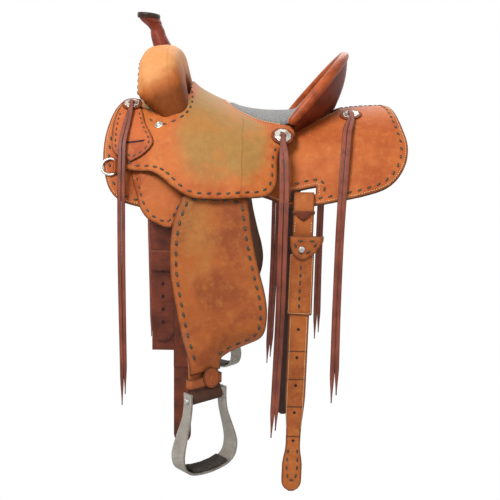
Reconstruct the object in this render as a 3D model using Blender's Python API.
"""Barrel racing saddle: a wooden tree, its leather covering, skirts, fenders, rigging and straps.

Metres, +Z up, -X towards the horse's head, -Y the near (left) side.
The origin lies on the horse's spine line below the deepest point of the seat.
"""

from functools import lru_cache
from math import asin, atan2, cos, pi, radians, sin, sqrt, tan

import bmesh
import bpy
import numpy as np
from mathutils import Matrix, Vector

# Clearances and leather thicknesses
GAP = 0.0004
SLIDE = 0.0008
SKIRT_T = 0.0045
LINING_T = 0.009
JOCKEY_T = 0.0045
PLATE_T = 0.004
KEEPER_T = 0.0035
FENDER_T = 0.004
LEATHER_T = 0.004
BILLET_T = 0.006
LATIGO_T = 0.003
STRING_T = 0.003

# Outer form of the skirts: place along X, then crest height, half width and fall of the section
SKIRT_FORM = (
    (-0.31, 0.118, 0.245, 0.46, 2.5),
    (-0.19, 0.116, 0.2455, 0.45, 2.5),
    (-0.08, 0.088, 0.246, 0.43, 2.5),
    (0.03, 0.072, 0.246, 0.41, 2.5),
    (0.12, 0.087, 0.248, 0.405, 2.5),
    (0.19, 0.098, 0.250, 0.40, 2.5),
    (0.31, 0.105, 0.250, 0.40, 2.5),
)
# Outer form of the seat and its jockeys, in the same columns
SEAT_FORM = (
    (-0.30, 0.124, 0.252, 0.45, 2.5),
    (-0.25, 0.122, 0.256, 0.42, 2.5),
    (-0.20, 0.125, 0.274, 0.30, 2.0),
    (-0.155, 0.158, 0.281, 0.36, 1.9),
    (-0.121, 0.134, 0.281, 0.34, 2.1),
    (-0.065, 0.107, 0.282, 0.31, 2.2),
    (-0.03, 0.094, 0.2835, 0.30, 2.25),
    (0.004, 0.088, 0.2755, 0.33, 2.4),
    (0.06, 0.086, 0.232, 0.38, 3.2),
)

# Tree
BAR_DEPTH = 0.026
BAR_FADE = (0.15, 0.235)
BAR_SLACK = 0.0013
FORK_X = (-0.241, -0.159)
FORK_BEVEL = 0.029
FORK_LEAN = 0.09
COVER_T = 0.005
CANTLE_FOOT_X = 0.060
CANTLE_FOOT_Z = 0.063
CANTLE_SLOPE = radians(50)
CANTLE_HALF = 0.152
CANTLE_RISE = 0.185
ROLL_R = 0.0105
PAD_T = 0.007
GROUND_T = 0.004

# Horn: height, middle along X, half length and half width of each ring
HORN_RINGS = (
    (0.2196, -0.2040, 0.0195, 0.0215),
    (0.2350, -0.2105, 0.0172, 0.0190),
    (0.2440, -0.2135, 0.0158, 0.0172),
    (0.2530, -0.2150, 0.0146, 0.0160),
    (0.2600, -0.2195, 0.0160, 0.0185),
    (0.2680, -0.2265, 0.0196, 0.0235),
    (0.2750, -0.2310, 0.0216, 0.0262),
)
CAP_R = (0.0240, 0.0285)
CAP_T = 0.0115
CAP_X = -0.2330
CAP_TILT = radians(5)

# Rigging
RING_X = -0.180
RING_Y = 0.2250
RING_Z = -0.072
RING_R = 0.034
RING_WIRE_R = 0.0025
RING_TILT = radians(16)
LATIGO_W = 0.044
DEE_R = 0.0160
DEE_WIRE_R = 0.0024
DEE_X = -0.2850

# Fender and stirrup
PIVOT_X = -0.086
PIVOT_Z = -0.043
PIN_R = 0.006
HANG_Y = 0.2530
HANG_Z = -0.133
HANG_TILT = atan2(0.2126, 1.0)
TWIST = radians(42)
TWIST_Z = (-0.306, -0.390)
NECK_X = -0.0950
LEATHER_HALF = 0.035
HOBBLE_Z = (-0.3995, -0.4175)
BADGE_R = 0.0195
BOLT_Z = -0.4365
BOLT_R = 0.004
STIRRUP_T = 0.0045
STIRRUP_DEPTH = (0.024, 0.038)
TREAD_T = 0.007

# Flank cinch billet
SLOT_X = 0.089
SLOT_W = 0.047
SLOT_H = 0.015
LINING_DROP = 0.008
SILL_S = 0.2825
BILLET_W = 0.040
BILLET_LEAN = -0.012

# Conchos: place along X, distance round the section and radius of the leather rosette
CONCHO_T = 0.0068
CONCHOS = {
    "front": (-0.252, 0.1280, 0.0205, "seat"),
    "middle": (0.047, 0.1795, 0.0225, "seat"),
    "rear": (0.187, 0.0985, 0.0225, "skirt"),
}


def clear_scene():
    for old in list(bpy.data.objects):
        bpy.data.objects.remove(old)


clear_scene()
saddle = bpy.data.collections.new("barrel_racing_saddle")
cutters = bpy.data.collections.new("cutters")
bpy.context.scene.collection.children.link(saddle)
bpy.context.scene.collection.children.link(cutters)


def finish(name, colour, roughness=0.6, metallic=0.0):
    mat = bpy.data.materials.new(name)
    mat.use_nodes = True
    bsdf = mat.node_tree.nodes["Principled BSDF"]
    bsdf.inputs["Base Color"].default_value = (*colour, 1)
    bsdf.inputs["Roughness"].default_value = roughness
    bsdf.inputs["Metallic"].default_value = metallic
    return mat


TAN = (0.50, 0.16, 0.035)
WORN = (0.38, 0.22, 0.07)
DARK = (0.07, 0.018, 0.012)
STRING = (0.20, 0.05, 0.035)
WOOD = (0.45, 0.30, 0.16)
SILVER = (0.62, 0.60, 0.55)


def own(obj, colour, roughness=0.6, metallic=0.0, group=None):
    """Gives an object its own material and puts it in its collection."""
    obj.data.materials.clear()
    obj.data.materials.append(finish(obj.name, colour, roughness, metallic))
    for c in list(obj.users_collection):
        c.objects.unlink(obj)
    (group or saddle).objects.link(obj)
    return obj


def warped(face):
    """Whether a face's corners lie out of one plane."""
    at = face.verts[0].co
    face.normal_update()
    return any(abs((v.co - at).dot(face.normal)) > 1e-5 for v in face.verts)


def mesh_object(name, bm, colour, roughness=0.6, metallic=0.0, smooth=True):
    warps = [f for f in bm.faces if len(f.verts) > 3 and warped(f)]
    bmesh.ops.triangulate(bm, faces=warps, quad_method="SHORT_EDGE")
    bmesh.ops.recalc_face_normals(bm, faces=bm.faces)
    if bm.calc_volume(signed=True) < 0:
        bmesh.ops.reverse_faces(bm, faces=bm.faces)
    mesh = bpy.data.meshes.new(name)
    bm.to_mesh(mesh)
    bm.free()
    if smooth:
        mesh.shade_smooth()
        mesh.set_sharp_from_angle(angle=radians(40))
    return own(bpy.data.objects.new(name, mesh), colour, roughness, metallic)


def applied(obj):
    """Replaces an object's mesh by its evaluated mesh, with no modifiers left."""
    bpy.context.view_layer.update()
    graph = bpy.context.evaluated_depsgraph_get()
    mesh = bpy.data.meshes.new_from_object(obj.evaluated_get(graph))
    obj.modifiers.clear()
    obj.data = mesh
    return obj


def boolean(obj, other, operation="DIFFERENCE"):
    """Cuts or joins with another object, which is then removed."""
    mod = obj.modifiers.new(operation.lower(), "BOOLEAN")
    mod.operation = operation
    mod.object = other
    applied(obj)
    bpy.data.objects.remove(other)
    return obj


def cutter(obj):
    for c in list(obj.users_collection):
        c.objects.unlink(obj)
    cutters.objects.link(obj)
    obj.hide_render = True
    obj.display_type = "WIRE"
    return obj


def cylinder(name, radius, depth, place, axis, colour=SILVER, segments=24, bevel=0.0):
    bm = bmesh.new()
    bmesh.ops.create_cone(
        bm, cap_ends=True, segments=segments, radius1=radius, radius2=radius, depth=depth
    )
    if bevel:
        rims = [e for e in bm.edges if abs(e.verts[0].co.z - e.verts[1].co.z) < 1e-6]
        bmesh.ops.bevel(bm, geom=rims, offset=bevel, segments=2, profile=0.5,
                        affect="EDGES", material=-1)
    turn = Vector((0, 0, 1)).rotation_difference(Vector(axis)).to_matrix().to_4x4()
    bmesh.ops.transform(bm, matrix=Matrix.Translation(place) @ turn, verts=bm.verts)
    return mesh_object(name, bm, colour, 0.35, 1.0)


def mirrored(obj, name):
    """The off side's copy of a near-side piece."""
    bm = bmesh.new()
    bm.from_mesh(obj.data)
    bmesh.ops.scale(bm, vec=(1, -1, 1), verts=bm.verts)
    bmesh.ops.reverse_faces(bm, faces=bm.faces)
    bsdf = obj.data.materials[0].node_tree.nodes["Principled BSDF"]
    return mesh_object(
        name,
        bm,
        tuple(bsdf.inputs["Base Color"].default_value)[:3],
        bsdf.inputs["Roughness"].default_value,
        bsdf.inputs["Metallic"].default_value,
    )


def both(obj):
    """A near-side piece whose name ends in _left, and its mirrored _right."""
    return obj, mirrored(obj, obj.name.replace("_left", "_right"))


def eased(t):
    t = min(max(t, 0.0), 1.0)
    return t * t * (3 - 2 * t)


def table_at(table, x):
    """A row of a form's table at any place, on a smooth curve through its rows."""
    xs = [row[0] for row in table]
    x = min(max(x, xs[0]), xs[-1])
    i = min(max(j for j, v in enumerate(xs) if v <= x), len(xs) - 2)
    rows = np.array(table)
    slope = np.gradient(rows[:, 1:], rows[:, 0], axis=0)
    h = xs[i + 1] - xs[i]
    t = (x - xs[i]) / h
    a, b = rows[i, 1:], rows[i + 1, 1:]
    return (
        (2 * t**3 - 3 * t**2 + 1) * a
        + (t**3 - 2 * t**2 + t) * h * slope[i]
        + (3 * t**2 - 2 * t**3) * b
        + (t**3 - t**2) * h * slope[i + 1]
    )


@lru_cache(maxsize=None)
def section(table, x):
    """Half a form's cross-section at x: its y, its z, and the distance round it."""
    crest, half, fall, power = table_at(table, x)
    turn = np.linspace(0, pi / 2, 91)
    y = half * np.sin(turn) ** (2 / power)
    z = crest - fall * (1 - np.cos(turn) ** (2 / power))
    s = np.concatenate([[0], np.cumsum(np.hypot(np.diff(y), np.diff(z)))])
    return y, z, s


def on_form(table, x, s, h=0.0):
    """The point at distance s round the section at x, h out from the form; s < 0 is the off side."""
    y, z, along = section(table, round(x, 4))
    side = 1 if s < 0 else -1
    a = abs(s)
    ahead, behind = min(a + 0.004, along[-1]), max(min(a, along[-1] - 0.001) - 0.004, 0)
    dy = np.interp(ahead, along, y) - np.interp(behind, along, y)
    dz = np.interp(ahead, along, z) - np.interp(behind, along, z)
    long = sqrt(dy * dy + dz * dz)
    past = max(a - along[-1], 0)
    if a < 0.004:
        dy, dz, long = 1, 0, 1
    return Vector((
        x,
        side * (np.interp(a, along, y) - h * dz / long),
        np.interp(a, along, z) - past + h * dy / long,
    ))


def height_at(table, x, y):
    """A form's height above the point x, y."""
    ys, zs, _ = section(table, round(x, 4))
    return float(np.interp(abs(y), ys, zs))


def rounded(points, steps=3, closed=True):
    """A smooth outline through the points; a point given twice is a corner."""
    out = []
    n = len(points)
    for i in range(n if closed else n - 1):
        if closed:
            p = [Vector(points[(i + k) % n]) for k in (-1, 0, 1, 2)]
        else:
            p = [Vector(points[min(max(i + k, 0), n - 1)]) for k in (-1, 0, 1, 2)]
        if (p[2] - p[1]).length < 1e-7:
            continue
        for k in range(steps):
            t = k / steps
            q = 0.5 * (
                2 * p[1]
                + (p[2] - p[0]) * t
                + (2 * p[0] - 5 * p[1] + 4 * p[2] - p[3]) * t**2
                + (3 * p[1] - p[0] - 3 * p[2] + p[3]) * t**3
            )
            if not out or (q - out[-1]).length > 0.0008:
                out.append(q)
    if not closed:
        out.append(Vector(points[-1]))
    return out


def grid(step):
    """Even places to crease a hide at, so that layers laid on one another bend alike."""
    return [k * step for k in range(int(-0.8 / step), int(0.5 / step))]


def hide(name, outline, place, low, high, colour, cuts=(grid(0.06), grid(0.028)), roughness=0.6):
    """A piece cut flat from a side of leather, then bent: place(u, v, h) says where a point goes.

    low and high are how far its flesh side and its grain side lie out from the form.
    """
    bm = bmesh.new()
    bm.faces.new([bm.verts.new((p[0], p[1], 0)) for p in outline])
    for axis in (0, 1):
        values = [p[axis] for p in outline]
        for cut in cuts[axis]:
            if not min(values) + 0.003 < cut < max(values) - 0.003:
                continue
            at, normal = [0, 0, 0], [0, 0, 0]
            at[axis], normal[axis] = cut, 1
            bmesh.ops.bisect_plane(
                bm, geom=bm.verts[:] + bm.edges[:] + bm.faces[:], dist=1e-6,
                plane_co=at, plane_no=normal
            )
    bmesh.ops.remove_doubles(bm, verts=bm.verts, dist=0.0004)
    bmesh.ops.triangulate(bm, faces=[f for f in bm.faces if len(f.verts) > 4])
    top = bmesh.ops.extrude_face_region(bm, geom=bm.faces[:])["geom"]
    raised = {v for v in top if isinstance(v, bmesh.types.BMVert)}
    for v in bm.verts:
        u, s = v.co.x, v.co.y
        offset = high if v in raised else low
        v.co = place(u, s, offset(u, s) if callable(offset) else offset)
    return mesh_object(name, bm, colour, roughness)


def loft(name, rings, colour, roughness=0.6, metallic=0.0):
    """A closed solid through rings of as many points each, capped at both ends."""
    bm = bmesh.new()
    rows = [[bm.verts.new(p) for p in ring] for ring in rings]
    n = len(rows[0])
    for a, b in zip(rows, rows[1:]):
        for i in range(n):
            bm.faces.new([a[i], a[(i + 1) % n], b[(i + 1) % n], b[i]])
    bm.faces.new(rows[0])
    bm.faces.new(rows[-1])
    return mesh_object(name, bm, colour, roughness, metallic)


def strap(name, route, width, thickness, colour, steps=4, roughness=0.55):
    """A flat strap along a route; width is a number or a function of the share of its length."""
    line = rounded(route, steps, closed=False)
    lengths = [0.0]
    for a, b in zip(line, line[1:]):
        lengths.append(lengths[-1] + (b - a).length)
    rings = []
    for i, p in enumerate(line):
        along = (line[min(i + 1, len(line) - 1)] - line[max(i - 1, 0)]).normalized()
        across = (Vector((1, 0, 0)) - along * along.x).normalized()
        out = across.cross(along)
        w = width(lengths[i] / lengths[-1]) if callable(width) else width
        a, b = across * w / 2, out * thickness / 2
        rings.append([p - a - b, p + a - b, p + a + b, p - a + b])
    return loft(name, rings, colour, roughness)


def skirt_point(x, s, h):
    return on_form(SKIRT_FORM, x, s, h)


def seat_point(x, s, h):
    return on_form(SEAT_FORM, x, s, h)


def bar_room(x, s):
    """The depth left between skirt and lining for the bar, which reaches lower down at its pin."""
    low, high = BAR_FADE
    high += 0.095 * (1 - eased(abs(x - PIVOT_X) / 0.06))
    return BAR_DEPTH * (1 - eased((abs(s) - low) / (high - low)))


# Skirts and their linings
SEAM = 0.0008
LAYER_CUTS = (grid(0.06) + [PIVOT_X - 0.017, PIVOT_X, PIVOT_X + 0.017], grid(0.028))
SKIRT_OUTLINE = rounded([
    (-0.262, 0.074), (-0.272, 0.080), (-0.285, 0.115), (-0.294, 0.157), (-0.300, 0.200),
    (-0.3005, 0.240), (-0.297, 0.268), (-0.287, 0.302), (-0.270, 0.3235), (-0.245, 0.335),
    (-0.205, 0.341), (-0.160, 0.325), (-0.115, 0.300), (-0.065, 0.289), (-0.015, 0.272),
    (0.020, 0.276), (0.053, 0.293), (0.090, 0.3025), (0.130, 0.305), (0.185, 0.303), (0.221, 0.297),
    (0.248, 0.287), (0.270, 0.268), (0.285, 0.241), (0.291, 0.212), (0.2905, 0.187),
    (0.285, 0.155), (0.279, 0.112), (0.273, 0.056), (0.268, 0.018), (0.262, SEAM), (0.262, SEAM),
    (0.172, SEAM), (0.172, SEAM), (0.163, 0.040), (0.140, 0.078), (0.105, 0.098),
    (0.050, 0.105), (-0.040, 0.105), (-0.130, 0.108), (-0.148, 0.138), (-0.200, 0.140),
    (-0.247, 0.136), (-0.257, 0.100),
], 2)
skirts = hide("skirt_left", SKIRT_OUTLINE, skirt_point, -SKIRT_T, 0, TAN, LAYER_CUTS)
linings = hide(
    "skirt_lining_left",
    SKIRT_OUTLINE,
    skirt_point,
    lambda x, s: -SKIRT_T - GAP - bar_room(x, s) - LINING_T,
    lambda x, s: -SKIRT_T - GAP - bar_room(x, s),
    (0.16, 0.10, 0.06),
    LAYER_CUTS,
    0.9,
)

# The slot for the flank billet, and the hole for the pin that the stirrup leather hangs on
slot_at = skirt_point(SLOT_X, SILL_S - SLOT_H / 2, 0)
below_slot = skirt_point(SLOT_X, SILL_S, 0)
slot_dir = (below_slot - slot_at).normalized()


def block(name, size, place, turn_x=0.0):
    bm = bmesh.new()
    bmesh.ops.create_cube(bm, size=1)
    bmesh.ops.scale(bm, vec=size, verts=bm.verts)
    turn = Matrix.Rotation(turn_x, 4, "X")
    bmesh.ops.transform(bm, matrix=Matrix.Translation(place) @ turn, verts=bm.verts)
    return mesh_object(name, bm, SILVER)


SLOT_TURN = atan2(-slot_dir.y, -slot_dir.z)
PIN_AXIS = Vector((0, -cos(HANG_TILT), sin(HANG_TILT)))


def hang_y(z):
    """How far out the inner face of the stirrup leather lies at a height."""
    return HANG_Y + (HANG_Z - z) * tan(HANG_TILT)


PIVOT = Vector((PIVOT_X, -hang_y(PIVOT_Z), PIVOT_Z))
boolean(skirts, cutter(cylinder("pin_hole", PIN_R + SLIDE, 0.12, PIVOT, PIN_AXIS)))
for piece, deep, drop in ((skirts, 0.03, 0), (linings, 0.08, LINING_DROP)):
    middle = slot_at + slot_dir * drop / 2
    boolean(piece, cutter(block("slot", (SLOT_W, deep, SLOT_H + drop), middle, -SLOT_TURN)))
both(skirts)
both(linings)

# Tree bars, each with the pin that carries its stirrup leather
bars = hide(
    "tree_bar_left",
    rounded([
        (-0.236, 0.060), (-0.248, 0.100), (-0.236, 0.150), (-0.180, 0.178), (-0.125, 0.190),
        (-0.106, 0.256), (-0.088, 0.272), (-0.070, 0.256), (-0.050, 0.190), (0.000, 0.172),
        (0.100, 0.172), (0.200, 0.172), (0.240, 0.140), (0.240, 0.080),
        (0.200, 0.050), (0.100, 0.046), (0.000, 0.050), (-0.100, 0.050), (-0.200, 0.046),
    ], 2),
    skirt_point,
    lambda x, s: -SKIRT_T - bar_room(x, s) + BAR_SLACK,
    -SKIRT_T - BAR_SLACK,
    WOOD,
    LAYER_CUTS,
)
pin_top = PIVOT + PIN_AXIS * (LEATHER_T - GAP)
roots = [
    on_form(SKIRT_FORM, PIVOT_X, s, -SKIRT_T - bar_room(PIVOT_X, s) / 2)
    for s in np.linspace(0.22, 0.28, 61)
]
pin_low = min(roots, key=lambda p: (p - PIVOT).cross(PIN_AXIS).length)
boolean(
    bars,
    cutter(cylinder("pin", PIN_R, (pin_top - pin_low).length, (pin_top + pin_low) / 2, PIN_AXIS)),
    "UNION",
)
both(bars)

# The pad's front edge, and the line round it where the jockeys are stitched down
PAD_INSET = 0.0175
PAD_HALF = CANTLE_HALF - PAD_INSET
PAD_FRONT_X = -0.065
EDGE_ROOM = 0.0038


def pad_front(w):
    return PAD_FRONT_X + 0.117 * abs(w) ** 2.6


def seat_edge(w):
    """A point of the jockeys' seat edge, as a place along X and a distance round the form."""
    x = pad_front(w) - EDGE_ROOM
    ys, _, along = section(SEAT_FORM, round(x, 4))
    return x, float(np.interp(PAD_HALF * w, ys, along))


# Seat jockeys: one piece of leather over the front of the seat and down both sides
NEAR_JOCKEY = [
    (-0.139, 0.112), (-0.139, 0.112), (-0.168, 0.140), (-0.205, 0.140), (-0.240, 0.118),
    (-0.262, 0.104), (-0.277, 0.128), (-0.2835, 0.165), (-0.2855, 0.204), (-0.2820, 0.228),
    (-0.2710, 0.243), (-0.2665, 0.258), (-0.2620, 0.271), (-0.250, 0.281), (-0.227, 0.2865),
    (-0.207, 0.292), (-0.193, 0.303), (-0.176, 0.326), (-0.162, 0.345), (-0.143, 0.3565),
    (-0.120, 0.357), (-0.095, 0.3505), (-0.041, 0.3345), (0.014, 0.3140), (0.0255, 0.305),
    (0.0335, 0.292), (0.0375, 0.273),
    (0.038, 0.236), (0.043, 0.212), (0.058, 0.196), (0.070, 0.178), (0.071, 0.158), (0.064, 0.143),
] + [seat_edge(w) for w in (0.985, 0.93, 0.86, 0.76, 0.62, 0.45, 0.22)]
JOCKEY_OUTLINE = rounded(
    NEAR_JOCKEY + [seat_edge(0)] + [(x, -s) for x, s in reversed(NEAR_JOCKEY)], 2
)
JOCKEY_CUTS = (grid(0.035), grid(0.026))
jockey = hide(
    "seat_jockey", JOCKEY_OUTLINE, seat_point, -JOCKEY_T, 0, WORN, JOCKEY_CUTS
)

# Front rigging plate, standing off the skirt far enough to cover the ring and the latigo
def plate_lift(x, s):
    """Close against the skirt at its top and its front edge, lifted off it over the ring."""
    over_ring = 0.0130 * eased((s - 0.232) / 0.056)
    over_latigo = 0.0070 * eased((s - 0.312) / 0.024)
    return SLIDE + (over_ring + over_latigo) * eased((x + 0.240) / 0.022)


plates = hide(
    "rigging_plate_left",
    rounded([
        (-0.243, 0.262), (-0.238, 0.299), (-0.231, 0.319), (-0.224, 0.341), (-0.209, 0.362),
        (-0.186, 0.372), (-0.168, 0.3745), (-0.155, 0.365), (-0.146, 0.343), (-0.132, 0.315),
        (-0.124, 0.272), (-0.145, 0.236), (-0.185, 0.220), (-0.225, 0.232),
    ]),
    skirt_point,
    plate_lift,
    lambda x, s: plate_lift(x, s) + PLATE_T,
    TAN,
    (grid(0.02), grid(0.024)),
)
both(plates)

# Ground seat, the stiff layer between the bars and the pad
GROUND_OUTLINE = [(-0.140, 0.070), (-0.140, -0.070), (-0.060, -0.095), (0.030, -0.100),
                  (0.052, -0.080), (0.052, 0.080), (0.030, 0.100), (-0.060, 0.095)]
hide(
    "ground_seat", GROUND_OUTLINE, seat_point, -PAD_T - 0.0036 - GROUND_T,
    lambda x, s: -PAD_T - 0.0036, (0.30, 0.30, 0.30),
)


# Cantle: the rim is half an oval in a plane that leans back from the seat
def rim(t, out=0.0, lift=0.0):
    """A point of the rim; t runs from 0 at the near end to pi at the off end."""
    up = (CANTLE_RISE + out) * sin(t)
    back = Vector((cos(CANTLE_SLOPE), 0, sin(CANTLE_SLOPE)))
    square = Vector((-sin(CANTLE_SLOPE), 0, cos(CANTLE_SLOPE)))
    foot = Vector((CANTLE_FOOT_X, 0, CANTLE_FOOT_Z))
    return foot + back * up + square * lift + Vector((0, -(CANTLE_HALF + out) * cos(t), 0))


def pad_height(x, y):
    """The seat's height: the seat form, turning up into the dished face of the cantle."""
    seat = height_at(SEAT_FORM, min(x, 0.06), y)
    half = CANTLE_HALF * 0.98
    dish = 0.010 * max(0, 1 - (y / half) ** 2)
    face = CANTLE_FOOT_Z + (x - CANTLE_FOOT_X) * tan(CANTLE_SLOPE) - dish
    soft = 0.012
    return soft * np.log(np.exp(seat / soft) + np.exp(face / soft))


PAD_ACROSS = 12
PAD_ALONG = 17
PAD_CROWN = 0.0035


def pad_point(u, w, sink, edge=0.0):
    """A point of the pad; u runs from its front edge to the rim, w from side to side."""
    w = max(min(w, 1), -1)
    front = Vector((pad_front(w), PAD_HALF * w, 0))
    t = asin(max(min(w, 1), -1)) + pi / 2
    top = rim(t, -ROLL_R + GAP / 2)
    p = front.lerp(Vector((top.x, top.y, 0)), u)
    p.z = pad_height(p.x, p.y) - sink
    return p


def seat_pad():
    """A cushion with a crown, whose edges draw down to the stitched line and the cantle roll."""
    bm = bmesh.new()
    layers = []
    for layer in (0, 1):
        grid = []
        for i in range(PAD_ALONG + 1):
            u = 0.016 + 0.982 * i / PAD_ALONG
            row = []
            for j in range(PAD_ACROSS + 1):
                w = 0.955 * (2 * j / PAD_ACROSS - 1)
                crown = PAD_CROWN * sqrt(max(0, (1 - w * w) * sin(pi * min(max(u, 0), 1))))
                sink = PAD_T if layer else -crown
                row.append(bm.verts.new(pad_point(u, w, sink)))
            grid.append(row)
        layers.append(grid)
    for grid in layers:
        for i in range(PAD_ALONG):
            for j in range(PAD_ACROSS):
                bm.faces.new([grid[i][j], grid[i + 1][j], grid[i + 1][j + 1], grid[i][j + 1]])
    rim_loop = (
        [(0, j) for j in range(PAD_ACROSS)]
        + [(i, PAD_ACROSS) for i in range(PAD_ALONG)]
        + [(PAD_ALONG, j) for j in range(PAD_ACROSS, 0, -1)]
        + [(i, 0) for i in range(PAD_ALONG, 0, -1)]
    )
    for (i, j), (k, m) in zip(rim_loop, rim_loop[1:] + rim_loop[:1]):
        a, b = layers
        bm.faces.new([a[i][j], a[k][m], b[k][m], b[i][j]])
    return mesh_object("seat_pad", bm, (0.20, 0.20, 0.21), 0.95)


seat_pad()

ROLL_SEGMENTS = 22


def roll_radius(t):
    """The roll is fullest at the sides and tapers to its two ends."""
    return ROLL_R * (0.80 + 0.20 * min(1, 3.2 * sin(t))) * (1 - 0.12 * sin(t) ** 8)


roll_rings = []
for k in range(ROLL_SEGMENTS + 1):
    t = 0.012 + (pi - 0.024) * k / ROLL_SEGMENTS
    here = rim(t)
    ahead = (rim(t + 0.01) - rim(t - 0.01)).normalized()
    lift = Vector((-sin(CANTLE_SLOPE), 0, cos(CANTLE_SLOPE)))
    side = ahead.cross(lift).normalized()
    r = roll_radius(t)
    roll_rings.append([
        here + (side * cos(a) + lift * sin(a)) * r for a in np.linspace(0, 2 * pi, 9)[:-1]
    ])
loft("cantle_roll", roll_rings, (0.35, 0.07, 0.03), 0.35)

# The cantle's back runs from under the roll down to a narrower line on the skirts
CANTLE_BASE = ((0.068, 0.128), (0.098, 0.112), (0.127, 0.092), (0.154, 0.055), (0.163, 0.0))


def base_point(t, out=0.0):
    """Where the cantle's back meets the skirt, at the same share round as the rim's t."""
    share = min(t, pi - t) / (pi / 2)
    place = share * (len(CANTLE_BASE) - 1)
    i = min(int(place), len(CANTLE_BASE) - 2)
    f = place - i
    x = CANTLE_BASE[i][0] * (1 - f) + CANTLE_BASE[i + 1][0] * f
    y = CANTLE_BASE[i][1] * (1 - f) + CANTLE_BASE[i + 1][1] * f
    side = -1 if t < pi / 2 else 1
    point = Vector((x + out, side * (y + out * 0.6), 0))
    point.z = height_at(SKIRT_FORM, point.x, point.y) + 0.0012
    return point


BACK_T = 0.004
BACK_BULGE = 0.007


def back_row(t, out, share_of_rise):
    """A point of the cantle's back between its base and the underside of the roll."""
    low = base_point(t, out)
    high = rim(t, -0.002 + out * 0.4, -ROLL_R - GAP - 0.002)
    p = low.lerp(high, share_of_rise)
    outward = Vector((0.6 * sin(t), -cos(t), 0)).normalized()
    return p + outward * (BACK_BULGE * sin(pi * share_of_rise) + out * 0.2)


back_rings = []
for k in range(17):
    t = 0.10 + (pi - 0.20) * k / 16
    outer = [back_row(t, 0, f) for f in (0, 0.33, 0.66, 1)]
    inner = [back_row(t, -BACK_T, f) for f in (1, 0.66, 0.33, 0)]
    back_rings.append(outer + inner)
loft("cantle_back", back_rings, (0.16, 0.03, 0.015), 0.4)

tree_rings = []
for k in range(13):
    t = 0.42 + (pi - 0.84) * k / 12
    base = back_row(t, -BACK_T - 0.0022, 0.10)
    mid = back_row(t, -BACK_T - 0.0022, 0.52)
    top = back_row(t, -BACK_T - 0.0022, 0.88)
    inward = Vector((-0.6 * sin(t), cos(t), 0)).normalized()
    face_top = top + inward * 0.008
    face_top.z = pad_height(face_top.x, face_top.y) - PAD_T - 0.002
    foot = Vector((base.x - 0.030 * sin(t), base.y * 0.86, base.z + 0.004))
    tree_rings.append([base, mid, top, face_top, foot])
loft("tree_cantle", tree_rings, WOOD)


# Fork, its leather cover and the horn. Each row is a point of the arch's outer and inner line
SWELL_ARCH = (
    (0.0, 0.2215, 0.0, 0.1535), (0.050, 0.2210, 0.022, 0.1525), (0.090, 0.2150, 0.042, 0.1480),
    (0.128, 0.1960, 0.058, 0.1410), (0.154, 0.1620, 0.071, 0.1310), (0.165, 0.1270, 0.081, 0.1200),
    (0.1665, 0.0970, 0.0855, 0.1130), (0.1640, 0.0700, 0.086, 0.1060),
)
FORK_FOOT = (0.1280, 0.0739, 0.0880, 0.0974)


def swell_point(x, y, z):
    """Leans the swell back, draws its lower front corner in and lowers its top at the front."""
    back = (x - FORK_X[0]) / (FORK_X[1] - FORK_X[0])
    front_tuck = 0.038 * eased((0.135 - z) / 0.070) ** 0.7
    rear_tuck = 0.025 * eased((0.105 - z) / 0.028)
    x += back * (FORK_LEAN * (0.22 - z) - rear_tuck) + (1 - back) * front_tuck
    return Vector((x, y, z - 0.009 * (1 - back) ** 2 * eased((z - 0.165) / 0.05)))


def swell(name, room, colour):
    """The swell, or the same shape a given depth inside it with feet that reach the bars."""
    rows = rounded([Vector(row) for row in SWELL_ARCH], 2, closed=False)
    if room:
        rows = rows[:-2] + [Vector(FORK_FOOT)]
    front, rear = FORK_X[0] + room, FORK_X[1] - room
    quarter = [radians(a) for a in (0, 30, 60, 90)]
    rings = []
    for side, row in [(-1, r) for r in reversed(rows)] + [(1, r) for r in rows[1:]]:
        outer, inner = Vector((row[0], row[1])), Vector((row[2], row[3]))
        out = (outer - inner).normalized()
        depth = (outer - inner).length - 2 * room
        inner += out * room
        round_r = min(FORK_BEVEL - 0.6 * room, 0.7 * depth)
        core = depth - round_r
        shape = [(front, 0), (rear, 0)]
        shape += [(rear - round_r * (1 - cos(a)), core + round_r * sin(a)) for a in quarter]
        shape += [(front + round_r * (1 - sin(a)), core + round_r * cos(a)) for a in quarter]
        rings.append([
            swell_point(x, side * (inner + out * k).x, (inner + out * k).y) for x, k in shape
        ])
    return loft(name, rings, colour)


def over_jockey(name, outline, high):
    """The space that the jockeys take up, on both sides, as one cutter."""
    near = hide(name, outline, seat_point, -0.06, high, DARK, JOCKEY_CUTS)
    return boolean(near, mirrored(near, name + "_off"), "UNION")


cover = swell("fork_cover", 0, (0.45, 0.16, 0.04))
boolean(cover, cutter(over_jockey("under_cover", [
    (-0.285, 0.086), (-0.115, 0.086), (-0.115, 0.250), (-0.285, 0.250)
], 0.0053)))
boolean(cover, cutter(swell("hollow", COVER_T, WOOD)))
fork = swell("tree_fork", COVER_T + 0.0022, WOOD)
boolean(fork, cutter(over_jockey("under_fork", [
    (-0.262, 0.100), (-0.240, 0.1155), (-0.205, 0.1370), (-0.168, 0.1370), (-0.140, 0.1090),
    (-0.125, 0.1090), (-0.125, 0.240), (-0.262, 0.240)
], 0.0020)))


def ring(x, z, half_long, half_wide, tilt=0.0, sides=16):
    out = []
    for a in np.linspace(0, 2 * pi, sides + 1)[:-1]:
        dx = half_long * cos(a)
        out.append(Vector((x + dx * cos(tilt), half_wide * sin(a), z - dx * sin(tilt))))
    return out


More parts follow.
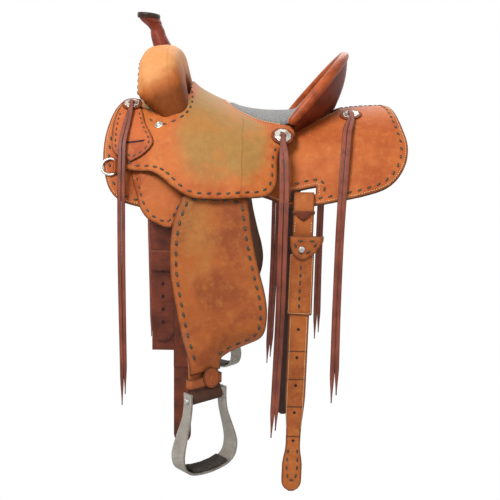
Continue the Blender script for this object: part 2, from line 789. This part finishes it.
horn_rings = []
for i, (z, x, long, wide) in enumerate(HORN_RINGS):
    horn_rings.append(ring(x, z, long, wide, CAP_TILT * (2 * i / (len(HORN_RINGS) - 1) - 1)))
loft("horn_wrap", horn_rings, (0.16, 0.03, 0.015), 0.25)
cap_z = HORN_RINGS[-1][0] + GAP
cap_rings = []
for share, up in ((0.93, 0), (1, 0.22), (1, 0.68), (0.93, 0.9), (0.72, 1)):
    cap_rings.append(ring(
        CAP_X, cap_z + CAP_T * up, CAP_R[0] * share, CAP_R[1] * share, CAP_TILT
    ))
loft("horn_cap", cap_rings, (0.03, 0.015, 0.01), 0.3)

# Front rigging rings, tilted to lie along the skirt
RING_AXIS = Vector((0, -cos(RING_TILT), sin(RING_TILT)))


def torus(name, radius, wire, place, axis, colour=SILVER):
    bpy.ops.mesh.primitive_torus_add(
        major_radius=radius, minor_radius=wire, major_segments=24, minor_segments=8
    )
    obj = bpy.context.object
    obj.name = name
    turn = Vector((0, 0, 1)).rotation_difference(axis).to_matrix().to_4x4()
    obj.data.transform(Matrix.Translation(place) @ turn)
    obj.data.shade_smooth()
    return own(obj, colour, 0.3, 1.0)


ring_place = Vector((RING_X, -RING_Y, RING_Z))
both(torus("rigging_ring_left", RING_R, RING_WIRE_R, ring_place, RING_AXIS))

# Breast collar dees, each swinging on its straight leg at the jockey's front edge
dee_s = 0.262
dee_centre = on_form(SKIRT_FORM, DEE_X, dee_s, DEE_WIRE_R + GAP)
dee_low = on_form(SKIRT_FORM, DEE_X, dee_s + 0.01, 0)
dee_down = (dee_low - on_form(SKIRT_FORM, DEE_X, dee_s, 0)).normalized()
dee_out = dee_down.cross(Vector((1, 0, 0))).normalized()
if dee_out.y > 0:
    dee_out.negate()


def dee_line():
    """The dee's centreline: an arc from its straight leg's foot round to its head."""
    out = []
    for a in np.linspace(radians(-123.4), radians(123.4), 15):
        out.append(dee_centre - Vector((1, 0, 0)) * DEE_R * cos(a) + dee_down * DEE_R * sin(a))
    return out


def tube(name, line, radius, colour, closed=False, sides=8):
    rings = []
    n = len(line)
    for i, p in enumerate(line):
        ahead = line[(i + 1) % n] if closed or i < n - 1 else line[i]
        behind = line[i - 1] if closed or i > 0 else line[i]
        along = (ahead - behind).normalized()
        u = along.cross(dee_out).normalized()
        rings.append([p + (u * cos(a) + dee_out * sin(a)) * radius
                      for a in np.linspace(0, 2 * pi, sides + 1)[:-1]])
    bm = bmesh.new()
    rows = [[bm.verts.new(q) for q in r] for r in rings]
    pairs = list(zip(rows, rows[1:] + rows[:1])) if closed else list(zip(rows, rows[1:]))
    for a, b in pairs:
        for i in range(sides):
            bm.faces.new([a[i], a[(i + 1) % sides], b[(i + 1) % sides], b[i]])
    if not closed:
        bm.faces.new(rows[0])
        bm.faces.new(rows[-1])
    return mesh_object(name, bm, colour, 0.25, 1.0)


both(tube("breast_dee_left", dee_line(), DEE_WIRE_R, SILVER, closed=True))


# Latigo on the near side and the off billet, each looped through its rigging ring
def ring_loop(side, low_outer, low_inner, width, name, colour):
    """A strap folded over the bottom of the rigging ring, both legs hanging straight down."""
    wire_y = RING_Y + RING_R * sin(RING_TILT)
    wire_z = RING_Z - RING_R * cos(RING_TILT)
    sag = RING_R - sqrt(RING_R**2 - (width / 2) ** 2)
    slack = sag * sin(RING_TILT)
    out = wire_y + RING_WIRE_R + SLIDE + LATIGO_T / 2
    within = wire_y - slack - RING_WIRE_R - SLIDE - LATIGO_T / 2
    bend = (out - within) / 2
    top = wire_z + sag * cos(RING_TILT) + RING_WIRE_R + SLIDE
    middle = (out + within) / 2
    turn = [(middle + bend * cos(a), top + bend * sin(a)) for a in np.linspace(0, pi, 7)]
    settle_in, settle_out = middle - LATIGO_T / 2 - 0.0009, middle + LATIGO_T / 2 + 0.0009
    legs = (
        [(settle_out, low_outer), (settle_out, top - 0.115), (settle_out, top - 0.080),
         ((out + settle_out) / 2, top - 0.052), (out, top - 0.024)]
        + turn
        + [(within, top - 0.024), ((within + settle_in) / 2, top - 0.052),
           (settle_in, top - 0.080), (settle_in, top - 0.115), (settle_in, low_inner)]
    )
    route = [Vector((RING_X, side * y, z)) for y, z in legs]
    return strap(name, route, width, LATIGO_T, colour, 1)


ring_loop(-1, -0.356, -0.376, LATIGO_W, "latigo_strap", DARK)
ring_loop(1, -0.765, -0.560, 0.044, "off_billet", (0.09, 0.02, 0.012))

# Latigo keeper: the shield with a slot that takes the latigo's loose end
SLOT_FROM, SLOT_TO = (-0.255, 0.222), (-0.220, 0.232)
keeper = hide(
    "latigo_keeper",
    rounded([
        (-0.268, 0.128), (-0.276, 0.138), (-0.282, 0.172), (-0.2835, 0.215), (-0.2815, 0.238),
        (-0.272, 0.251), (-0.256, 0.256), (-0.245, 0.267), (-0.245, 0.267), (-0.221, 0.256),
        (-0.206, 0.243), (-0.202, 0.229), (-0.210, 0.205), (-0.222, 0.178), (-0.229, 0.150),
        (-0.238, 0.130), (-0.252, 0.120),
    ], 2),
    seat_point, 3 * GAP, 3 * GAP + KEEPER_T, TAN, JOCKEY_CUTS,
)
slot_mid = seat_point(
    (SLOT_FROM[0] + SLOT_TO[0]) / 2, (SLOT_FROM[1] + SLOT_TO[1]) / 2, 3 * GAP + KEEPER_T / 2
)
boolean(keeper, cutter(block("keeper_slot", (0.038, 0.014, 0.0032), slot_mid, radians(12))))


# Fender, stirrup leather and stirrup, in a plane that leans out, with a twist at the neck
def twist_at(z):
    high, low = TWIST_Z
    return TWIST * eased((high - z) / (high - low))


def hang_point(x, z, h):
    """A point of the fender assembly at height z, h out from the stirrup leather's inner face."""
    angle = twist_at(z)
    across = x - NECK_X
    out = h - 0.0045
    return Vector((
        NECK_X + across * cos(angle) + out * sin(angle),
        -(hang_y(z) + 0.0045 + out * cos(angle) - across * sin(angle)),
        z,
    ))


TWIST_CUTS = [-0.3000 - 0.0075 * k for k in range(13)]
NECK_CUTS = [NECK_X + share * LEATHER_HALF for share in (-1, -0.333, 0.333, 1)]
FENDER_GAP = 0.0012
FENDER_OUTLINE = rounded([
    (-0.133, -0.064), (-0.133, -0.064), (-0.141, -0.070), (-0.1555, -0.107), (-0.1625, -0.144),
    (-0.1640, -0.182), (-0.1615, -0.219), (-0.1550, -0.256), (-0.1460, -0.298), (-0.1385, -0.330),
    (-0.1320, -0.360), (-0.1310, -0.393), (-0.1310, -0.393), (-0.0590, -0.393), (-0.0590, -0.393),
    (-0.0600, -0.3815), (-0.0570, -0.3710), (-0.0370, -0.3605), (-0.0130, -0.3510), (0.0080, -0.3380),
    (0.0170, -0.3180), (0.0205, -0.2960), (0.0205, -0.2730), (0.0155, -0.2440), (0.0080, -0.2170),
    (0.0010, -0.1890), (-0.0075, -0.1510), (-0.0130, -0.1140), (-0.0190, -0.0760),
    (-0.0245, -0.0700), (-0.0245, -0.0700), (-0.0600, -0.0640), (-0.0600, -0.0640),
], 2)
fender_low = LEATHER_T + FENDER_GAP
both(hide("fender_left", FENDER_OUTLINE, hang_point, fender_low, fender_low + FENDER_T, WORN,
          (NECK_CUTS, [-0.10, -0.15, -0.20, -0.25] + TWIST_CUTS)))


def leather_route():
    """The stirrup leather's line as heights and distances out: down, round the bolt and up."""
    turn_r = BOLT_R + SLIDE + LEATHER_T / 2
    centre = LEATHER_T / 2 + turn_r
    points = [(z, LEATHER_T / 2) for z in [-0.100, -0.200] + TWIST_CUTS + [-0.415]]
    for a in np.linspace(0, pi, 7):
        points.append((BOLT_Z - turn_r * sin(a), centre - turn_r * cos(a)))
    points += [(BOLT_Z + 0.0045, 0.0148), (BOLT_Z + 0.0115, 0.0080)]
    points += [(BOLT_Z + 0.0200, 0.0066), (HOBBLE_Z[0] - 0.002, 0.0064)]
    return points


def stirrup_leather():
    rings = []
    route = leather_route()
    head = 0.022
    for a in (radians(78), radians(45), radians(15)):
        z = PIVOT_Z + head * sin(a)
        half = head * cos(a)
        rings.append([(PIVOT_X - half, z), (PIVOT_X + half, z)])
    rings.append([(PIVOT_X - head, PIVOT_Z - 0.012), (PIVOT_X + head, PIVOT_Z - 0.012)])
    bm_rings = []
    for (x0, z0), (x1, z1) in rings:
        bm_rings.append([hang_point(x0, z0, 0), hang_point(x1, z1, 0),
                         hang_point(x1, z1, LEATHER_T), hang_point(x0, z0, LEATHER_T)])
    for i, (z, out) in enumerate(route):
        z_b, out_b = route[max(i - 1, 0)]
        z_a, out_a = route[min(i + 1, len(route) - 1)]
        dz, do = z_a - z_b, out_a - out_b
        long = sqrt(dz * dz + do * do)
        nz, no = do / long, -dz / long
        half = LEATHER_HALF
        mid = NECK_X
        if z > -0.30:
            mid = NECK_X + 0.020 * eased((z + 0.30) / 0.12)
            half = LEATHER_HALF + 0.006 * eased((z + 0.30) / 0.12)
        t = LEATHER_T / 2
        ring_points = []
        for across, side in ((-half, -1), (half, -1), (half, 1), (-half, 1)):
            ring_points.append(hang_point(mid + across, z + nz * t * side, out + no * t * side))
        bm_rings.append(ring_points)
    return loft("stirrup_leather_left", bm_rings, TAN)


leather = stirrup_leather()
boolean(leather, cutter(cylinder("pin_clear", PIN_R + SLIDE, 0.05, PIVOT, PIN_AXIS)))
both(leather)

# Hobble strap: a band round the neck above the stirrup, with a round face on its outer side
neck_out = LEATHER_T * 2 + 0.0006


def band(name, z_top, z_low, half_in, low_in, high_in, thickness, colour):
    """A closed band round the neck of the fender."""
    outer = [(-half_in - thickness, low_in - thickness), (half_in + thickness, low_in - thickness),
             (half_in + thickness, high_in + thickness), (-half_in - thickness, high_in + thickness)]
    inner = [(-half_in, low_in), (half_in, low_in), (half_in, high_in), (-half_in, high_in)]
    bm = bmesh.new()
    loops = []
    for z, shape in ((z_top, outer), (z_low, outer), (z_low, inner), (z_top, inner)):
        corners = [hang_point(NECK_X + a, z, o) for a, o in shape]
        loops.append([bm.verts.new(p) for p in corners])
    for k in range(4):
        a, b = loops[k], loops[(k + 1) % 4]
        for i in range(4):
            bm.faces.new([a[i], a[(i + 1) % 4], b[(i + 1) % 4], b[i]])
    return mesh_object(name, bm, colour, smooth=False)


hobble = band("hobble_strap_left", HOBBLE_Z[0], HOBBLE_Z[1], LEATHER_HALF + SLIDE + 0.0004,
              -SLIDE, neck_out + SLIDE + 0.0006, 0.0028, TAN)
badge_face = neck_out + SLIDE + 0.0006
badge_z = (HOBBLE_Z[0] + HOBBLE_Z[1]) / 2 + 0.0045
badge_at = hang_point(NECK_X + 0.0105, badge_z, badge_face + 0.0023)
badge_mid = hang_point(NECK_X, badge_z, badge_face)
badge_across = hang_point(NECK_X + 0.024, badge_z, badge_face) - badge_mid
badge_down = hang_point(NECK_X, badge_z - 0.01, badge_face) - badge_mid
badge_out = badge_across.cross(badge_down)
badge = cylinder("badge", BADGE_R, 0.0042, badge_at, badge_out, segments=20)
boolean(hobble, cutter(badge), "UNION")
both(hobble)

# Stirrup, its rubber tread and the bolt it turns on
BOLT_OUT = LEATHER_T + BOLT_R + SLIDE
bolt_centre = hang_point(NECK_X, BOLT_Z, BOLT_OUT)
bolt_dir = (hang_point(NECK_X + 0.01, BOLT_Z, BOLT_OUT) - bolt_centre).normalized()
bolt_dir.z = 0
bolt_dir.normalize()
face_dir = Vector((0, 0, 1)).cross(bolt_dir).normalized()
STIRRUP_PATH = ((-0.0405, 0.0135), (-0.0405, -0.0080), (-0.0440, -0.0340), (-0.0545, -0.0660),
                (-0.0620, -0.0915), (-0.0632, -0.1080), (-0.0580, -0.1255), (-0.0440, -0.1365),
                (-0.0220, -0.1415), (0.0, -0.1430))


def stirrup_frame():
    near = rounded([(*p, 0) for p in STIRRUP_PATH], 2, closed=False)
    line = near + [Vector((-p.x, p.y, 0)) for p in reversed(near[:-1])]
    rings = []
    for i, p in enumerate(line):
        ahead, behind = line[min(i + 1, len(line) - 1)], line[max(i - 1, 0)]
        along = (ahead - behind).normalized()
        normal = Vector((-along.y, along.x, 0))
        depth = STIRRUP_DEPTH[0] + (STIRRUP_DEPTH[1] - STIRRUP_DEPTH[0]) * eased(
            (-p.y - 0.02) / 0.09
        )
        ring_points = []
        for side, deep in ((-1, -1), (-1, 1), (1, 1), (1, -1)):
            q = p + normal * STIRRUP_T / 2 * side
            ring_points.append(
                bolt_centre + bolt_dir * q.x + Vector((0, 0, q.y)) + face_dir * depth / 2 * deep
            )
        rings.append(ring_points)
    return loft("stirrup_frame_left", rings, (0.35, 0.34, 0.31), 0.4, 1.0)


frame = stirrup_frame()
bolt_hole = cylinder("bolt_hole", BOLT_R + SLIDE, 0.12, bolt_centre, bolt_dir, segments=16)
boolean(frame, cutter(bolt_hole))
both(frame)
tread_rings = []
for u in np.linspace(-0.041, 0.041, 9):
    top = np.interp(abs(u), (0, 0.022, 0.044), (-0.1430, -0.1415, -0.1365)) + STIRRUP_T / 2
    half = STIRRUP_DEPTH[1] / 2 - 0.002
    lift = GAP
    row = []
    for up, deep in ((lift, -1), (lift, 1), (lift + TREAD_T, 0.92), (lift + TREAD_T, -0.92)):
        row.append(
            bolt_centre + bolt_dir * u + Vector((0, 0, top + up)) + face_dir * half * deep
        )
    tread_rings.append(row)
both(loft("stirrup_tread_left", tread_rings, (0.03, 0.025, 0.02), 0.9))
both(cylinder("stirrup_bolt_left", BOLT_R, 0.094, bolt_centre, bolt_dir, segments=16))

# Flank billets, hooked through the slots in the skirts
sill = skirt_point(SLOT_X, SILL_S, -SKIRT_T / 2)
HOOK_R = 0.0055
hook_centre = sill + slot_dir * 0.0030


def billet_route(side, low):
    mid_r = HOOK_R + BILLET_T / 2
    route = []
    for a in np.linspace(radians(112), radians(0), 6):
        turned = a + SLOT_TURN
        route.append((hook_centre.y - mid_r * cos(turned), hook_centre.z + mid_r * sin(turned)))
    edge = skirt_point(SLOT_X, 0.3035, 0.0024 + BILLET_T / 2)
    route.append((edge.y - 0.0020, edge.z))
    out = edge.y - 0.0045
    for z in (-0.116, -0.170, -0.300, -0.420, low + 0.122, low + 0.055, low):
        route.append((out - 0.0005, z))
    top_z = route[0][1]
    return [
        Vector((SLOT_X + BILLET_LEAN * (top_z - z) / 0.6, -side * y, z)) for y, z in route
    ]


def billet_width(share):
    """Parallel, then a narrow neck, then a paddle that comes to a rounded point."""
    marks = ((0.0, BILLET_W), (0.70, BILLET_W), (0.805, 0.028), (0.83, 0.028), (0.91, 0.041),
             (0.95, 0.036), (1.0, 0.006))
    for (a, low), (b, high) in zip(marks, marks[1:]):
        if share <= b:
            return low + (high - low) * eased((share - a) / (b - a))
    return marks[-1][1]


strap("flank_billet_left", billet_route(-1, -0.668), billet_width, BILLET_T, TAN, 3)
strap("flank_billet_right", billet_route(1, -0.680), billet_width, BILLET_T, DARK, 3)
near_route = billet_route(-1, -0.668)
billet_face = -(abs(near_route[8].y) + BILLET_T / 2)


def billet_panel(x, z, h):
    lean = BILLET_LEAN * (near_route[0].z - z) / 0.6
    return Vector((SLOT_X + lean + x, billet_face - h, z))


hide("billet_sleeve", rounded([
    (-0.0245, -0.178), (-0.0245, -0.178), (-0.0245, -0.299), (-0.0245, -0.299),
    (0.0245, -0.301), (0.0245, -0.301), (0.0235, -0.178), (0.0235, -0.178),
], 1), billet_panel, GAP, GAP + 0.0035, TAN, (grid(0.03), grid(0.06)))
hide("billet_cap", rounded([
    (-0.0260, -0.1440), (-0.0260, -0.1440), (0.040, -0.1440), (0.040, -0.1440), (0.039, -0.156),
    (0.028, -0.174), (0.012, -0.187), (-0.002, -0.191), (-0.015, -0.183), (-0.0235, -0.166),
], 2), billet_panel, GAP * 2 + 0.0035, GAP * 2 + 0.0070, TAN)
hide("billet_keeper", [(-0.0225, -0.0965), (0.0215, -0.0965), (0.0215, -0.1030),
                       (0.0225 - 0.010, -0.1030), (0.0, -0.1120), (-0.010, -0.1030),
                       (-0.0225, -0.1030)],
     billet_panel, 0, 0.0022, DARK)


# Conchos: each a silver dome on a leather rosette, with its saddle strings hanging from it
def facing(table, x, s):
    """The directions out of a form and down along it, at one of its near-side points."""
    low = (on_form(table, x, s + 0.012, 0) - on_form(table, x, s - 0.012, 0)).normalized()
    ahead = on_form(table, x + 0.012, s, 0) - on_form(table, x - 0.012, s, 0)
    normal = low.cross(ahead).normalized()
    return (-normal if normal.y > 0 else normal), low


def concho(name, centre, normal, radius):
    turn = Vector((0, 0, 1)).rotation_difference(normal).to_matrix()
    rings = []
    for r, up in ((1.0, 0.0), (1.0, 0.0026), (0.80, 0.0030), (0.78, 0.0046), (0.45, CONCHO_T)):
        rings.append([
            centre + turn @ Vector((radius * r * cos(a), radius * r * sin(a), up))
            for a in np.linspace(0, 2 * pi, 19)[:-1]
        ])
    return loft(name, rings, SILVER, 0.25, 1.0)


def string_width(width):
    """Two flat strands side by side, a little closer at the concho and tapered at their tips."""
    def at(share):
        grow = 0.62 + 0.38 * eased(share / 0.12)
        return width * grow * (1 - 0.72 * eased((share - 0.84) / 0.16))
    return at


STRING_ROUTES = {
    "front": (0.0155, [
        (-0.2605, -0.1990, 0.0330), (-0.2605, -0.2150, 0.0000), (-0.2600, -0.2280, -0.0450),
        (-0.2595, -0.2340, -0.1000), (-0.2590, -0.2385, -0.1800), (-0.2580, -0.2425, -0.2700),
        (-0.2570, -0.2455, -0.3600), (-0.2565, -0.2475, -0.4300), (-0.2570, -0.2485, -0.4850),
    ]),
    "middle": (0.0200, [
        (0.0490, -0.2130, -0.0030), (0.0495, -0.2250, -0.0350), (0.0500, -0.2350, -0.0700),
        (0.0492, -0.2440, -0.1150), (0.0490, -0.2465, -0.1800), (0.0485, -0.2465, -0.2700),
        (0.0460, -0.2460, -0.3600), (0.0420, -0.2455, -0.4600), (0.0380, -0.2450, -0.5500),
    ]),
    "rear": (0.0195, [
        (0.1755, -0.1575, 0.0560), (0.1710, -0.1850, 0.0250), (0.1670, -0.2070, -0.0140),
        (0.1635, -0.2215, -0.0550), (0.1610, -0.2300, -0.0950), (0.1590, -0.2315, -0.1500),
        (0.1575, -0.2320, -0.2300), (0.1565, -0.2320, -0.3100), (0.1565, -0.2320, -0.3900),
        (0.1570, -0.2320, -0.4800),
    ]),
}


def dressed(where, lift, names):
    """A near-side concho with its strings, lift out from the form that carries it."""
    x, s, radius, carrier = CONCHOS[where]
    table = SEAT_FORM if carrier == "seat" else SKIRT_FORM
    normal, low = facing(table, x, s)
    centre = on_form(table, x, s, lift)
    width, route = STRING_ROUTES[where]
    start = [
        centre + normal * (CONCHO_T + STRING_RISE[where]),
        centre + normal * 0.0064 + low * (radius + 0.003),
    ]
    return (
        concho(names[0], centre, normal, radius),
        strap(names[1], start + [Vector(p) for p in route], string_width(width), STRING_T, STRING, 2),
    )


# The front concho lies on the latigo keeper on the near side, and on the jockey on the off side
CONCHO_LIFT = {"front": (4 * GAP + KEEPER_T, GAP), "middle": (3 * GAP,) * 2, "rear": (0.0,) * 2}
STRING_RISE = {"front": 0.0026, "middle": 0.0032, "rear": 0.0037}
for where, (near_lift, off_lift) in CONCHO_LIFT.items():
    dressed(where, near_lift, (f"concho_{where}_left", f"strings_{where}_left"))
    for off in dressed(where, off_lift, (f"concho_{where}_off", f"strings_{where}_off")):
        mirrored(off, off.name.replace("_off", "_right"))
        bpy.data.objects.remove(off)
